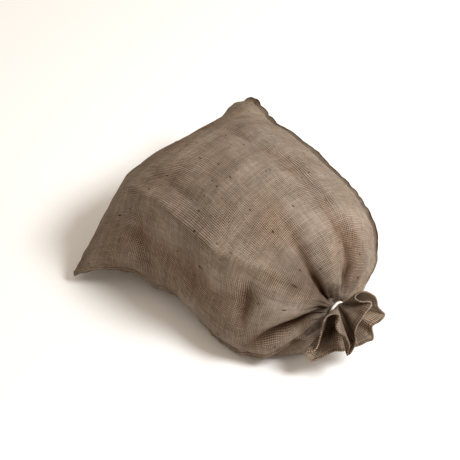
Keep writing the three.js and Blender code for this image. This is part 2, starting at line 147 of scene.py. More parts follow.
# the mouth's hem, bend by bend: turn, then how far to the side, up and forward
RIM = np.array([
    (0, 38, -12, 30), (10, 49, -10, 25), (16, 58, -3, 20), (24, 49, 9, 18),
    (32, 48, 17, 16), (40, 44, 27, 16), (48, 33, 36, 17), (54, 22, 35, 19),
    (58, 17, 30, 21), (62, 24, 24, 23), (67, 37, 21, 26), (72, 24, 11, 36),
    (77, 13, 3, 44), (81, 8, -6, 49), (85, 9, -16, 54), (88, -3, -29, 59),
    (91, 0, -14, 60), (94, -4, -5, 59), (98, -12, 5, 57), (102, -15, 16, 55),
    (106, -11, 28, 53), (112, -14, 31, 52), (120, -21, 32, 51), (130, -28, 28, 49),
    (141, -32, 18, 46), (155, -35, 1, 43), (170, -38, -15, 41), (185, -43, -27, 40),
    (195, -54, -30, 40), (205, -47, -45, 40), (218, -34, -41, 41), (232, -17, -34, 41),
    (248, -3, -36, 40), (266, 12, -33, 39), (290, 27, -30, 38), (320, 37, -26, 38),
], float)
MOUTH_HEADING, MOUTH_TILT = math.radians(-33), math.radians(12)


def eased(x):
    x = np.clip(x, 0, 1)
    return x * x * (3 - 2 * x)


def between(x, start, end):
    """0 up to the start, 1 from the end on, and eased from one to the other."""
    return eased((x - start) / (end - start))


def through_rows(rows, place, closed=False):
    """A smooth curve through the rows of a table, at places counted in rows."""
    n = len(rows)
    place = np.asarray(place, float)
    i = np.floor(place).astype(int) if closed else np.minimum(place.astype(int), n - 2)
    f = (place - i)[..., None]
    hold = (lambda k: k % n) if closed else (lambda k: np.clip(k, 0, n - 1))
    a, b, c, d = (rows[hold(i + k)] for k in (-1, 0, 1, 2))
    return 0.5 * (2 * b + (c - a) * f + (2 * a - 5 * b + 4 * c - d) * f**2
                  + (3 * b - a - 3 * c + d) * f**3)


def section_at(share):
    return through_rows(SECTIONS, np.clip(share, 0, 1) * (len(SECTIONS) - 1))


def width_and_depth(roll):
    roll = np.radians(roll)
    none = np.zeros_like(roll)
    return (np.stack([none, np.cos(roll), np.sin(roll)], -1),
            np.stack([none, -np.sin(roll), np.cos(roll)], -1))


def bag(turn, share):
    """The bulged bag without folds: turn runs round it from the far seam over the top."""
    turn, share = np.broadcast_arrays(np.asarray(turn, float), np.asarray(share, float))
    along, across, height, half, rise, drop, rounded, bow, roll, tuck = (
        np.moveaxis(section_at(share), -1, 0))
    rolled = turn + np.radians(ROLL_UNDER * tuck) * np.maximum(-np.cos(turn), 0) ** 2
    c, s = np.cos(rolled), np.sin(rolled)
    near = np.maximum(-c, 0) ** 3 * tuck
    w = half * c * (1 - near * DRAWN_IN)
    t = np.where(s > 0, rise, drop) * ((1 - rounded) * s * np.abs(s) + rounded * s) - near
    width_way, depth_way = width_and_depth(roll)
    x = along - bow * (1 - np.abs(c) ** BOW_POWER)
    point = (np.stack([x, across, height], -1)
             + w[..., None] * width_way + t[..., None] * depth_way)
    for ear_turn, reach, pull in EARS:
        first = SECTIONS[0]
        way, _ = width_and_depth(first[8])
        tip = first[:3] + first[3] * math.cos(math.radians(ear_turn)) * way
        near_tip = np.clip(1 - np.linalg.norm(point - tip, axis=-1) / reach, 0, 1) ** 2
        point = point + near_tip[..., None] * np.array(pull, float)
    return point


def outward(turn, share):
    step = 0.001
    round_way = bag(turn + step, share) - bag(turn - step, share)
    on_way = bag(turn, np.minimum(share + step, 1)) - bag(turn, np.maximum(share - step, 0))
    way = np.cross(round_way, on_way)
    return way / np.linalg.norm(way, axis=-1)[..., None]


# a fold's line is cut into so many short pieces between its stops, and falls away soft or sharp
STOPS_BETWEEN = 6
SOFT_TAIL, SHARP_DROP = 0.35, 1.3


def fold_depth(points):
    """How far the folds lift the cloth at each point, crests above 0 and valleys below."""
    flat = points.reshape(-1, 3)
    total = np.zeros(len(flat))
    for width, crisp, route in FOLDS + CREASES:
        route = np.array(route, float)
        place = np.arange((len(route) - 1) * STOPS_BETWEEN + 1) / STOPS_BETWEEN
        i = np.minimum(place.astype(int), len(route) - 2)
        f = (place - i)[:, None]
        stops = route[i] * (1 - f) + route[i + 1] * f
        line, depth = bag(np.radians(stops[:, 0]), stops[:, 1]), stops[:, 2]
        best, here = np.full(len(flat), np.inf), np.zeros(len(flat))
        for a, b, depth_a, depth_b in zip(line[:-1], line[1:], depth[:-1], depth[1:]):
            f = np.clip((flat - a) @ (b - a) / ((b - a) @ (b - a)), 0, 1)
            far = np.linalg.norm(flat - a - f[:, None] * (b - a), axis=1)
            here = np.where(far < best, depth_a + (depth_b - depth_a) * f, here)
            best = np.minimum(best, far)
        x = best / width
        soft = np.exp(-x * x / (1 + SOFT_TAIL * x))
        sharp = np.exp(-SHARP_DROP * x)
        total += here * (soft + crisp * (sharp - soft))
    return total.reshape(points.shape[:-1])


WAVES, WAVE_SPREAD = 7, 4.0


def wander(a, b, size, seed):
    """Gentle unevenness from a few crossing waves of about that size, between -1 and 1."""
    rng = np.random.default_rng(seed)
    total = 0
    for _ in range(WAVES):
        angle, wave = rng.uniform(0, math.pi), size * rng.uniform(0.7, 1.6)
        total = total + np.sin((a * math.cos(angle) + b * math.sin(angle)) * 2 * math.pi / wave
                               + rng.uniform(0, 2 * math.pi))
    return total / WAVE_SPREAD


def run_along(line):
    """The length along a line of points, from its first point to each."""
    return np.concatenate([[0], np.cumsum(np.linalg.norm(np.diff(line, axis=0), axis=1))])


# Strings run from the bottom fold to the mouth. Round the sack they follow the top panel, the
# near edge, the under panel and the far edge. Each has its turn, how far out it sits on the
# doubled edge, and its side of the edge's middle: 1 is above and -1 below
panel_turns = [math.pi * k / ACROSS for k in range(ACROSS + 1)]
EDGE_RUN = [(0.5, 1.0), (1.0, 1.0), (0.98, 0.2), (0.25, 0.0)]
strings = np.array([(0.0, out, lifted) for out, lifted in reversed(EDGE_RUN[:-1])]
                   + [(turn, 0.0, 1.0) for turn in panel_turns]
                   + [(math.pi, out, lifted) for out, lifted in EDGE_RUN]
                   + [(math.pi, out, -lifted) for out, lifted in reversed(EDGE_RUN[:-1])]
                   + [(math.pi + turn, 0.0, -1.0) for turn in panel_turns]
                   + [(2 * math.pi, out, -lifted) for out, lifted in EDGE_RUN])
s_turn, s_out, s_lift = strings.T
count = len(strings)
# the strings at the panels' side seams
FAR_ROOT = len(EDGE_RUN) - 1
NEAR_ROOT = FAR_ROOT + ACROSS
NEAR_ROOT_UNDER = NEAR_ROOT + 2 * len(EDGE_RUN)
FAR_ROOT_UNDER = NEAR_ROOT_UNDER + ACROSS

forward = np.array([math.cos(MOUTH_HEADING) * math.cos(MOUTH_TILT),
                    math.sin(MOUTH_HEADING) * math.cos(MOUTH_TILT), math.sin(MOUTH_TILT)])
side = np.array([-math.sin(MOUTH_HEADING), math.cos(MOUTH_HEADING), 0])
mouth_axes = np.stack([side, np.cross(forward, side), forward])

# the strings share out the hem evenly, the top ones from the far seam round to the near one
RIM_STEPS = 40
rim_place = np.arange(len(RIM) * RIM_STEPS + 1) / RIM_STEPS
rim_run = run_along(through_rows(RIM, rim_place, closed=True)[:, 1:])
rim_turn = np.interp(rim_place, np.arange(len(RIM) + 1), np.append(RIM[:, 0], 360))
half_run = np.interp(180, rim_turn, rim_run)
half_count = count // 2
order = np.arange(count)
top_side = order < half_count
run = np.where(top_side, (order + 0.5) / half_count * half_run,
               half_run + ((order - half_count + 0.5) / (count - half_count)
                           * (rim_run[-1] - half_run)))
s_rim = np.interp(run, rim_run, rim_place)
rim_degrees = np.interp(run, rim_run, rim_turn)

# the neck's gathers start and are full at these shares of the length, with the rings closer
# together, and over the next shares the strings leave the seams to follow the hem
NECK_FROM, NECK_FULL, BODY_RINGS = 0.6, 0.76, 123
TURN_FROM, TURN_DONE = 0.72, 0.9
share = np.concatenate([np.linspace(0, NECK_FROM, BODY_RINGS),
                        np.linspace(NECK_FROM, 1, ALONG - BODY_RINGS + 1)[1:]])[:, None]
slide = between(share, TURN_FROM, TURN_DONE)
turn = s_turn * (1 - slide) + np.radians(rim_degrees) * slide
base_bag = bag(turn, share)
way_out = outward(turn, share)

# each point's place on the flat cloth, across from the far seam and along from the bottom fold
MIDDLE_SHARE, MIDDLE_RUN = 0.42, 230.0
middle_ring = np.argmin(np.abs(share[:, 0] - MIDDLE_SHARE))


def panel_run(start):
    """Turns over one panel and the cloth's run to each, drawn to the panel's flat width."""
    turns = np.linspace(start, start + math.pi, 400)
    run = run_along(bag(turns, MIDDLE_SHARE))
    return turns, run * (PANEL_WIDTH / run[-1])


far_or_near = np.sign(np.cos(s_turn))
edge_width = np.where(far_or_near < 0, NEAR_EDGE, np.where(s_lift >= 0, EDGE_TOP, EDGE_UNDER))
cloth_u = np.where(turn <= math.pi, np.interp(turn, *panel_run(0)),
                   PANEL_WIDTH + np.interp(turn, *panel_run(math.pi)))
cloth_u = cloth_u + s_out * edge_width * np.where(top_side, -1, 1) * far_or_near
arc_along = np.vstack([np.zeros(count),
                       np.cumsum(np.linalg.norm(np.diff(base_bag, axis=0), axis=-1), 0)])
cloth_v = arc_along - arc_along[middle_ring] + MIDDLE_RUN

# folds fade out before the tie, and pleats are drawn into the neck: height, number round the
# sack, start and lean
GATHERS = [(1.8, 9, 1.0, 0.0), (0.9, 17, 2.2, 0.0), (0.8, 31, 0.0, 3.0)]
calm = 1 - between(share, 0.84, 0.91)
gathered = between(share, NECK_FROM, NECK_FULL) * (1 - between(share, 0.84, 0.92))
gathers = sum(height * np.cos(number * turn + start + lean * share)
              for height, number, start, lean in GATHERS)
# small puckers where the side seams' stitches pull the cloth
PUCKER, PUCKER_REACH, SEAM_SCALE = 0.9, 16.0, 150.0
from_seam = np.abs(np.sin(turn)) * SEAM_SCALE
pucker = (PUCKER * np.exp(-(from_seam / PUCKER_REACH) ** 2)
          * wander(cloth_v, from_seam * 0.3, size=15, seed=5))
uneven = (1.1 * wander(cloth_u, cloth_v, size=95, seed=11)
          + 0.45 * wander(cloth_u, cloth_v * 0.7, size=30, seed=12))
lift = fold_depth(base_bag) * calm + gathers * gathered + (uneven + pucker) * calm
point = base_bag + lift[..., None] * way_out

# the doubled edge outside each seam: ragged and a little open on the far side, turned down and
# narrow on the near side, and both die out where the neck is gathered
EDGE_WAVE, EDGE_WAVES = 1.6, 46
roll = section_at(share[:, 0])[:, 8]
width_way, depth_way = (way[:, None, :] for way in width_and_depth(roll))
reach = (1 - between(share, NECK_FROM, NECK_FULL)) * (0.35 + 0.65 * between(share, 0, 0.05))
ragged = (1 + 0.09 * wander(cloth_v, s_lift * 40, size=22, seed=21)
          + 0.05 * wander(cloth_v, s_lift * 40, size=7, seed=22))
apart = (0.7 + 0.6 * wander(cloth_v, s_lift * 60, size=36, seed=23)) * s_out**2 * np.sign(s_lift)
wave = EDGE_WAVE * np.sin(share * EDGE_WAVES + 1) * s_out
bent = np.where(far_or_near > 0, apart + wave, -s_out * NEAR_EDGE) * reach
out = far_or_near * s_out * edge_width * reach * np.where(s_out > 0, ragged, 1)
point = point + out[..., None] * width_way
point = point + (s_lift * PLY * (1 - slide) + bent)[..., None] * depth_way
height = point[..., 2]
point[..., 2] = np.where(height > FLOOR_BLEND, height, np.where(
    height < -FLOOR_BLEND, 0, (height + FLOOR_BLEND) ** 2 / (4 * FLOOR_BLEND)))

# the frill: out from the neck to the hem, then back down its inside into the throat. Its cloth
# is placed by a run round the hem, a start and a length, and it is fatter where the hem is turned
NECK_PULL = 1.25
FRILL_YARNS, FRILL_START, FRILL_LONG = 0.72, 37.0, 44.0
HEM_FROM, HEM_FAT_IN, HEM_FAT_OUT = 0.84, 0.3, 0.2
neck_end = SECTIONS[-1, :3]
rim_edge = through_rows(RIM, s_rim, closed=True)[:, 1:]
out_share = np.linspace(0, 1, FRILL + 1)[:, None]
spread = 1 - (1 - out_share) ** NECK_PULL
local = np.stack([rim_edge[:, 0] * spread, rim_edge[:, 1] * spread, rim_edge[:, 2] * out_share], -1)
frill = neck_end + (point[-1] - neck_end) * (1 - spread)[..., None] + local @ mouth_axes
frill_u = np.broadcast_to(run, (FRILL + 1, count)) * FRILL_YARNS + FRILL_START
frill_v = np.broadcast_to(out_share * FRILL_LONG, frill_u.shape)
frill_out = np.cross(np.roll(frill, -1, 1) - np.roll(frill, 1, 1), np.gradient(frill, axis=0))
frill_out /= np.linalg.norm(frill_out, axis=-1)[..., None]
crumple = eased(out_share * 2) * wander(frill_u, frill_v * 0.6, size=21, seed=31)
frill = frill + crumple[..., None] * frill_out
inner_rows = np.arange(FRILL, FRILL - THROAT - 1, -1)
toward_hem = ((inner_rows - inner_rows[-1]) / THROAT)[:, None]
wall = THROAT_THICK + (HEM_THICK - THROAT_THICK) * eased(toward_hem)
wall = wall + HEM_FAT_IN * (inner_rows / FRILL > HEM_FROM)[:, None]
inner = frill[inner_rows] - wall[..., None] * frill_out[inner_rows]
hem_rows = out_share[:, 0] > HEM_FROM
frill[hem_rows] += HEM_FAT_OUT * frill_out[hem_rows]
rings = np.concatenate([point, frill[1:], inner])
ring_u = np.concatenate([cloth_u, frill_u[1:], frill_u[inner_rows]])
ring_v = np.concatenate([cloth_v, frill_v[1:], frill_v[inner_rows]])

# the frame's origin is under the middle of the sack, so the neck tie's place sets the shift
TIE_SHARE, TIE_WIDTH = 0.963, 3.5
tie_row = section_at(TIE_SHARE)
tie_low, tie_high = (np.array(corner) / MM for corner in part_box("neck_tie"))
shift = (tie_low + tie_high) / 2 - tie_row[:3] - np.array([TIE_WIDTH / 2, 0, 0])

THROAT_DIMPLE = 4.0
throat_end = rings[-1].mean(0) - forward * THROAT_DIMPLE
vertices = (np.vstack([rings.reshape(-1, 3), throat_end]) + shift) * MM
faces, corners_uv = [], []
for r in range(len(rings) - 1):
    frilled = r >= len(point) - 1
    girth = rim_run[-1] * FRILL_YARNS if frilled else 2 * PANEL_WIDTH
    for k in range(count):
        k2 = (k + 1) % count
        faces.append((r * count + k, r * count + k2, (r + 1) * count + k2, (r + 1) * count + k))
        for ring, string in ((r, k), (r, k2), (r + 1, k2), (r + 1, k)):
            u, v = ring_u[ring, string], ring_v[ring, string]
            if frilled and ring < len(point):
                u, v = frill_u[0, string], 0.0
            if k2 == 0 and string == 0:
                u += girth
            corners_uv.append((u, v))
# the bottom fold joins the first ring's top strings to its under strings
for k in range(half_count - 2):
    faces.append((k, count - 2 - k, count - 3 - k, k + 1))
faces.append((half_count - 2, half_count, half_count - 1))
faces.append((0, count - 1, count - 2))
last = (len(rings) - 1) * count
for face in faces[last:]:
    corners_uv += [(ring_u[0, string], 0.0) for string in face]
for k in range(count):
    faces.append((last + k, last + (k + 1) % count, len(vertices) - 1))
    corners_uv += [(ring_u[-1, k], 0.0)] * 3


def mesh_piece(name, vertices, faces, material):
    mesh = bpy.data.meshes.new(name)
    mesh.from_pydata([tuple(v) for v in vertices], [], faces)
    mesh.materials.append(material)
    mesh.polygons.foreach_set("use_smooth", [True] * len(mesh.polygons))
    piece = bpy.data.objects.new(name, mesh)
    bpy.context.scene.collection.objects.link(piece)
    return piece


class Shader:
    """One material and short ways to add and join its nodes."""

    def __init__(self, name):
        self.material = bpy.data.materials.new(name)
        self.material.use_nodes = True
        self.tree = self.material.node_tree
        self.surface = self.tree.nodes["Principled BSDF"]

    def node(self, kind, inputs=(), **settings):
        node = self.tree.nodes.new(kind)
        for key, value in settings.items():
            setattr(node, key, value)
        for socket, value in dict(inputs).items():
            if isinstance(value, bpy.types.NodeSocket):
                self.tree.links.new(value, node.inputs[socket])
            else:
                node.inputs[socket].default_value = value
        return node

    def math(self, operation, *values):
        return self.node("ShaderNodeMath", dict(enumerate(values)), operation=operation).outputs[0]

    def times(self, a, b):
        return self.math("MULTIPLY", a, b)

    def plus(self, a, b):
        return self.math("ADD", a, b)

    def scaled(self, value, factor, offset):
        return self.math("MULTIPLY_ADD", value, factor, offset)

    def attribute(self, name):
        return self.node("ShaderNodeAttribute", attribute_name=name).outputs["Fac"]

    def vector(self, x, y, z=0.0):
        return self.node("ShaderNodeCombineXYZ", {0: x, 1: y, 2: z}).outputs[0]

    def noise(self, vector, scale, detail=2.0, roughness=0.5):
        return self.node("ShaderNodeTexNoise", {"Vector": vector, "Scale": scale, "Detail": detail,
                                                "Roughness": roughness}).outputs["Fac"]

    def ramp(self, value, low, high, to_low=0.0, to_high=1.0):
        return self.node("ShaderNodeMapRange", {"Value": value, "From Min": low, "From Max": high,
                                                "To Min": to_low, "To Max": to_high},
                         interpolation_type="SMOOTHSTEP").outputs["Result"]

    def mix(self, amount, a, b, blend="MIX"):
        node = self.node("ShaderNodeMix", data_type="RGBA", blend_type=blend)
        for socket, value in ((0, amount), (6, a), (7, b)):
            if isinstance(value, bpy.types.NodeSocket):
                self.tree.links.new(value, node.inputs[socket])
            else:
                node.inputs[socket].default_value = value
        return node.outputs[2]

    def tint_toward(self, base, amount, strength, tint):
        return self.mix(self.times(amount, strength), base, tint)

    def darken(self, base, grey):
        return self.mix(1.0, base, self.vector(grey, grey, grey), "MULTIPLY")


def colour(red, green, blue):
    """A colour as seen on a screen, 0 to 255, turned to linear light."""
    def linear(x):
        x /= 255
        return x / 12.92 if x <= 0.04045 else ((x + 0.055) / 1.055) ** 2.4
    return (linear(red), linear(green), linear(blue), 1.0)


# plain weave, drawn on the flat cloth: two sets of uneven yarns that pass over and under
YARN_PITCH, YARN_BEND, YARN_FULLNESS = 2.4, 5.0, 0.6
CLOTH_BROWN, CLOTH_GREY = colour(137, 123, 110), colour(146, 134, 123)
# the worn brown also tints the valleys as painted crease shade
RUSTY, WORN_AND_CREASE_SHADE_BROWN, PALE_AND_LIT_CLOTH = colour(134, 106, 82), colour(122, 94, 72), colour(186, 168, 146)
# the grime colour is laid on as painted shade
FLECK, HOLE, PAINTED_SHADE_BROWN = colour(52, 38, 28), colour(52, 36, 24), colour(58, 40, 26)
hessian = Shader("hessian")
uv_map = hessian.node("ShaderNodeUVMap", uv_map="cloth").outputs[0]
cloth_place = hessian.node("ShaderNodeSeparateXYZ", {0: uv_map})
across_mm, along_mm = cloth_place.outputs[0], cloth_place.outputs[1]
cloth_mm = hessian.vector(across_mm, along_mm)


def yarn_count(place, beside):
    """Yarns counted along one way of the cloth, on lines that wander a little."""
    bend = hessian.times(hessian.math("SUBTRACT", hessian.noise(beside, 0.03), 0.5), YARN_BEND)
    return hessian.math("DIVIDE", hessian.plus(place, bend), YARN_PITCH)


def yarn_body(yarns):
    """1 along the middle of each yarn and 0 between two yarns."""
    ridge = hessian.math("ABSOLUTE", hessian.math("SINE", hessian.times(yarns, math.pi)))
    return hessian.math("POWER", ridge, YARN_FULLNESS)


def slubs(x, y, z=0.0):
    return hessian.noise(hessian.vector(x, y, z), 1.0, 3.0, 0.6)


warp = yarn_count(across_mm, cloth_mm)
weft = yarn_count(along_mm, hessian.vector(along_mm, across_mm, 9.0))
warp_yarn, weft_yarn = hessian.math("FLOOR", warp), hessian.math("FLOOR", weft)
thick_yarns = hessian.plus(slubs(hessian.times(warp_yarn, 3.71), hessian.times(weft, 0.09)),
                           slubs(hessian.times(warp, 0.09), hessian.times(weft_yarn, 3.71), 40.0))
warp_body, weft_body = yarn_body(warp), yarn_body(weft)
crossing = hessian.math("MODULO", hessian.math("ABSOLUTE", hessian.plus(warp_yarn, weft_yarn)), 2.0)
relief = hessian.math("MAXIMUM", hessian.times(warp_body, hessian.scaled(crossing, 0.45, 0.55)),
                      hessian.times(weft_body, hessian.scaled(crossing, -0.45, 1.0)))
gap = hessian.times(hessian.math("SUBTRACT", 1.0, warp_body),
                    hessian.math("SUBTRACT", 1.0, weft_body))

# where the weave is open, tight or worn (also painted crease shade), pale, painted light or painted
# shade
worn_and_crease_shade = hessian.attribute("open_weave_and_crease_shade")
drift = hessian.noise(cloth_mm, 0.012, 4.0, 0.6)
patch = hessian.noise(hessian.vector(along_mm, across_mm, 3.0), 0.022, 3.0, 0.55)
openness_and_crease_shade = hessian.plus(worn_and_crease_shade, hessian.ramp(patch, 0.42, 0.66, 0.0, 0.6))
holes = hessian.ramp(hessian.times(gap, hessian.scaled(openness_and_crease_shade, 3.4, 0.45)), 0.05, 0.4)
bands = hessian.ramp(hessian.noise(hessian.vector(hessian.times(across_mm, 0.006),
                                                  hessian.times(along_mm, 0.05), 21.0), 1.0, 2.0),
                     0.35, 0.65, 0.93, 1.06)
tone = hessian.times(hessian.ramp(thick_yarns, 0.72, 1.28, 0.82, 1.16), bands)
spread_yarns = hessian.math("MINIMUM", openness_and_crease_shade, 1.0)
grain = hessian.ramp(hessian.noise(cloth_mm, 0.8, 3.0, 0.7), 0.3, 0.7, 0.88, 1.12)
shade = hessian.times(hessian.ramp(relief, 0.1, 0.95, hessian.scaled(spread_yarns, -0.44, 0.84),
                                   hessian.scaled(spread_yarns, 0.22, 1.0)), grain)
flecks = hessian.ramp(hessian.noise(hessian.vector(hessian.times(across_mm, 0.16),
                                                   hessian.times(along_mm, 0.07), 7.0), 1.0, 1.0),
                      0.7, 0.76)

base = hessian.mix(hessian.ramp(drift, 0.36, 0.64), CLOTH_BROWN, CLOTH_GREY)
base = hessian.mix(hessian.ramp(patch, 0.52, 0.75, 0.0, 0.15), base, RUSTY)
# worn cloth, and the valleys' painted crease shade, tinted toward the worn brown
base = hessian.tint_toward(base, worn_and_crease_shade, 0.55, WORN_AND_CREASE_SHADE_BROWN)
# pale cloth, painted highlights and painted light, lightened toward the pale yarn colour
base = hessian.tint_toward(base, hessian.attribute("pale_and_painted_light"), 0.9, PALE_AND_LIT_CLOTH)
base = hessian.darken(base, tone)
base = hessian.darken(base, shade)
base = hessian.tint_toward(base, flecks, 0.85, FLECK)
base = hessian.tint_toward(base, holes, 0.85, HOLE)
# painted shade, darkened toward a deep brown
base = hessian.tint_toward(base, hessian.attribute("painted_shade"), 0.85, PAINTED_SHADE_BROWN)
hessian.tree.links.new(base, hessian.surface.inputs["Base Color"])
hessian.surface.inputs["Roughness"].default_value = 0.95
hessian.surface.inputs["Specular IOR Level"].default_value = 0.15
raised = hessian.plus(relief, hessian.times(thick_yarns, 0.5))
bump = hessian.node("ShaderNodeBump", {"Height": raised, "Strength": 0.6, "Distance": 0.0009})
hessian.tree.links.new(bump.outputs[0], hessian.surface.inputs["Normal"])

sack = mesh_piece("filled_sack", vertices, faces, hessian.material)
cloth_map = sack.data.uv_layers.new(name="cloth")
cloth_map.data.foreach_set("uv", np.array(corners_uv, np.float32).ravel())

# places of spread yarns, of painted shade, and pale and painted highlights: turn, share, reach,
# strength
SPREAD = [(60, 0.45, 28, 0.35), (97, 0.52, 26, 0.4), (55, 0.62, 28, 0.6), (116, 0.575, 12, 0.6),
          (115, 0.62, 13, 0.7), (115, 0.67, 12, 0.6), (112, 0.3, 26, 0.3), (132, 0.43, 26, 0.4),
          (44, 0.72, 18, 0.5)]
# spots of painted shade beside the folds near the neck
SHADED_SPOTS = [(105, 0.585, 20, 0.3), (106, 0.63, 18, 0.5), (106, 0.68, 16, 0.6), (103, 0.74, 13, 0.4),
          (155, 0.72, 14, 0.3), (139, 0.82, 12, 0.4), (82, 0.79, 9, 0.4), (57, 0.77, 10, 0.35),
          (38, 0.76, 16, 0.25)]
# the four small spots along the main ridge are painted highlight; the three broad ones lighten wide
# patches
PALE_AND_LIT_SPOTS = [(118, 0.561, 9, 0.4), (118, 0.6, 10, 0.4), (118, 0.645, 9, 0.3), (118, 0.69, 8, 0.3),
            (130, 0.51, 36, 0.25), (90, 0.3, 40, 0.3), (33, 0.22, 40, 0.25)]
# how strongly and how far the near ear is darkened with painted shade
EAR_SHADE, EAR_REACH = 0.26, 85.0


def hump(x, middle, reach):
    """1 at the middle, fading on both sides."""
    return np.exp(-((x - middle) / reach) ** 2)


def spots(places):
    total = 0
    for spot_turn, spot_share, spot_reach, strength in places:
        far = np.linalg.norm(base_bag - bag(math.radians(spot_turn), spot_share), axis=-1)
        total = total + strength * hump(far, 0, spot_reach)
    return total


def over_rings(body, outer, inside):
    """Values for the body's rings, the frill's outside and its inside, one after the other."""
    full = (len(inner_rows), count)
    return np.concatenate([body, outer[1:], np.broadcast_to(inside, full)])


def paint(name, values, at_throat_end):
    attribute = sack.data.attributes.new(name, "FLOAT", "POINT")
    values = np.append(values.ravel(), at_throat_end)
    attribute.data.foreach_set("value", np.clip(values, 0, 2).astype(np.float32))


# open weave: in the valleys, where its browner, darker tint is painted crease shade, in spread places,
# in patches of the frill, and in a thin spot of its right-hand lobe
frill_spread = 0.15 + 0.6 * eased(wander(frill_u, frill_v, size=30, seed=41))
thin_spot = 1.6 * hump(rim_degrees, 342, 9) * hump(np.arange(THROAT + 1), 9, 5)[:, None]
paint("open_weave_and_crease_shade", over_rings(np.clip(-lift / 14, 0, 0.8) + spots(SPREAD), frill_spread,
                               frill_spread[inner_rows] + thin_spot), 1.0)

# pale cloth, painted highlights on the main ridge and hem fold line, and painted light inside the lobes
fold_lines = (0.2 * (np.abs(out_share - 0.88) < 0.016) - 0.6 * (np.abs(out_share - 0.93) < 0.016)
              - 0.6 * (np.abs(out_share - 0.83) < 0.016))
hem = (fold_lines * (0.8 + 0.5 * wander(frill_u, frill_v, size=18, seed=43))
       + (out_share > 0.96) * (0.5 * wander(frill_u, frill_v, size=12, seed=44) - 0.35))
hem = np.where(hem > 0, 0.55 * hem, hem)
left_lobe = (between(rim_degrees, 118, 130) * (1 - between(rim_degrees, 186, 196))
             + 0.25 * between(rim_degrees, 186, 196) * (1 - between(rim_degrees, 245, 265)))
right_lobe = between(rim_degrees, 300, 320) + 1 - between(rim_degrees, 20, 28)
throat_depth = 1 - toward_hem
lit = (1.3 * left_lobe + 0.45 * right_lobe) * (1 - between(throat_depth, 0.3, 0.8))
pale = over_rings(spots(PALE_AND_LIT_SPOTS), hem, hem[inner_rows] + lit)
paint("pale_and_painted_light", pale, 0.0)

# painted shade: under the far edge and along its rim, in the creases near the neck, by the near ear,
# in the frill's deep grooves and flap, down the throat, and beside the hem's fold lines and on its edge
on_far_edge = (far_or_near > 0) * reach
under_edge_shade = (((s_out > 0) & (s_lift <= 0)) + 0.25 * (s_out > 0.4)
              + 0.65 * (s_out > 0.9)) * on_far_edge
crease_shade = np.clip((-lift - 3) / 9, 0, 0.95) * between(share, 0.45, 0.7)
ear_shade = EAR_SHADE * hump(np.linalg.norm(point - point[0, NEAR_ROOT + 1], axis=-1), 0, EAR_REACH)
groove_shade = (0.25 * hump(rim_degrees, 68, 14) + hump(rim_degrees, 81, 6)) * (1 - 0.4 * out_share)
dark = over_rings(under_edge_shade + crease_shade + ear_shade + spots(SHADED_SPOTS), groove_shade,
                  0.95 * between(throat_depth, 0.45, 0.9))
paint("painted_shade", dark + 0.6 * np.clip(-pale, 0, 1), 1.0)
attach(sack, "root")
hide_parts("sack_cloth")

# ------------------------------------------------------------------ seam stitching
# Yellow-olive jute thread run through both plies of each side seam, just inside the doubled
# edge: one row of short stitches a side, each dipping back into the cloth at both ends.
STITCH_LENGTH, STITCH_GAP, THREAD = 5.6, 2.4, 1.1
FIRST_STITCH, INTO_EDGE, SUNK = 6.0, 0.25, 0.4
THREAD_SIDES = 6
# along one stitch: how far its middle stands off the seam, and its half thickness
STAND_OFF = np.array([-0.4, 0.6, 1.0, 1.1, 1.0, 0.6, -0.4])
HALF_THICK = np.array([0.25, 0.8, 1, 1, 1, 0.8, 0.25]) * THREAD / 2
# the string that each row follows, the next one out, the row's side, and the share it ends at
STITCH_ROWS = [(FAR_ROOT, FAR_ROOT - 1, 1, 0.9), (FAR_ROOT_UNDER, FAR_ROOT_UNDER + 1, -1, 0.9),
               (NEAR_ROOT, NEAR_ROOT + 1, 1, 0.68),
               (NEAR_ROOT_UNDER, NEAR_ROOT_UNDER - 1, -1, 0.68)]
thread_points, thread_faces = [], []


def add_stitch(line, depth):
    """One short length of thread along a line, closed at both ends."""
    ahead = np.gradient(line, axis=0)
    ahead /= np.linalg.norm(ahead, axis=1)[:, None]
    across = np.cross(ahead, depth)
    first = len(thread_points)
    for i in range(len(line)):
        for k in range(THREAD_SIDES):
            angle = 2 * math.pi * k / THREAD_SIDES
            thread_points.append(line[i] + HALF_THICK[i] * (across[i] * math.cos(angle)
                                                            + depth[i] * math.sin(angle)))
    for start in range(first, len(thread_points) - THREAD_SIDES, THREAD_SIDES):
        for k in range(THREAD_SIDES):
            k2 = (k + 1) % THREAD_SIDES
            thread_faces.append((start + k, start + k2, start + THREAD_SIDES + k2,
                                 start + THREAD_SIDES + k))
    thread_faces.append(tuple(range(first, first + THREAD_SIDES)))
    thread_faces.append(tuple(reversed(range(len(thread_points) - THREAD_SIDES,
                                             len(thread_points)))))


for string, next_out, lifted, end in STITCH_ROWS:
    seam = (1 - INTO_EDGE) * point[:, string] + INTO_EDGE * point[:, next_out]
    seam_run = run_along(seam)
    start = FIRST_STITCH
    while start + STITCH_LENGTH < np.interp(end, share[:, 0], seam_run):
        marks = start + STITCH_LENGTH * np.linspace(0, 1, len(STAND_OFF))
        path, away = (np.stack([np.interp(marks, seam_run, way[:, i]) for i in range(3)], -1)
                      for way in (seam, way_out[:, string]))
        ring = np.interp(marks, seam_run, np.arange(len(seam_run))).astype(int)
        depth = depth_way[ring, 0] * lifted
        add_stitch(path + depth * STAND_OFF[:, None] - away * SUNK, depth)
        start += STITCH_LENGTH + STITCH_GAP
seam_thread = Shader("olive_thread")
seam_thread.surface.inputs["Base Color"].default_value = colour(156, 138, 66)
seam_thread.surface.inputs["Roughness"].default_value = 0.8
stitches = mesh_piece("side_seam_stitches", (np.array(thread_points) + shift) * MM, thread_faces,
                      seam_thread.material)
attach(stitches, "root")

# ------------------------------------------------------------------ neck tie
# A narrow white band pulled tight round the gathered neck, a little wavy where the
# gathers push it out, with its edges rounded off.
TIE_GAP, TIE_THICK = 0.6, 1.4
TIE_STEPS, TIE_WAVES, TIE_WAVE = 72, 9, 0.25
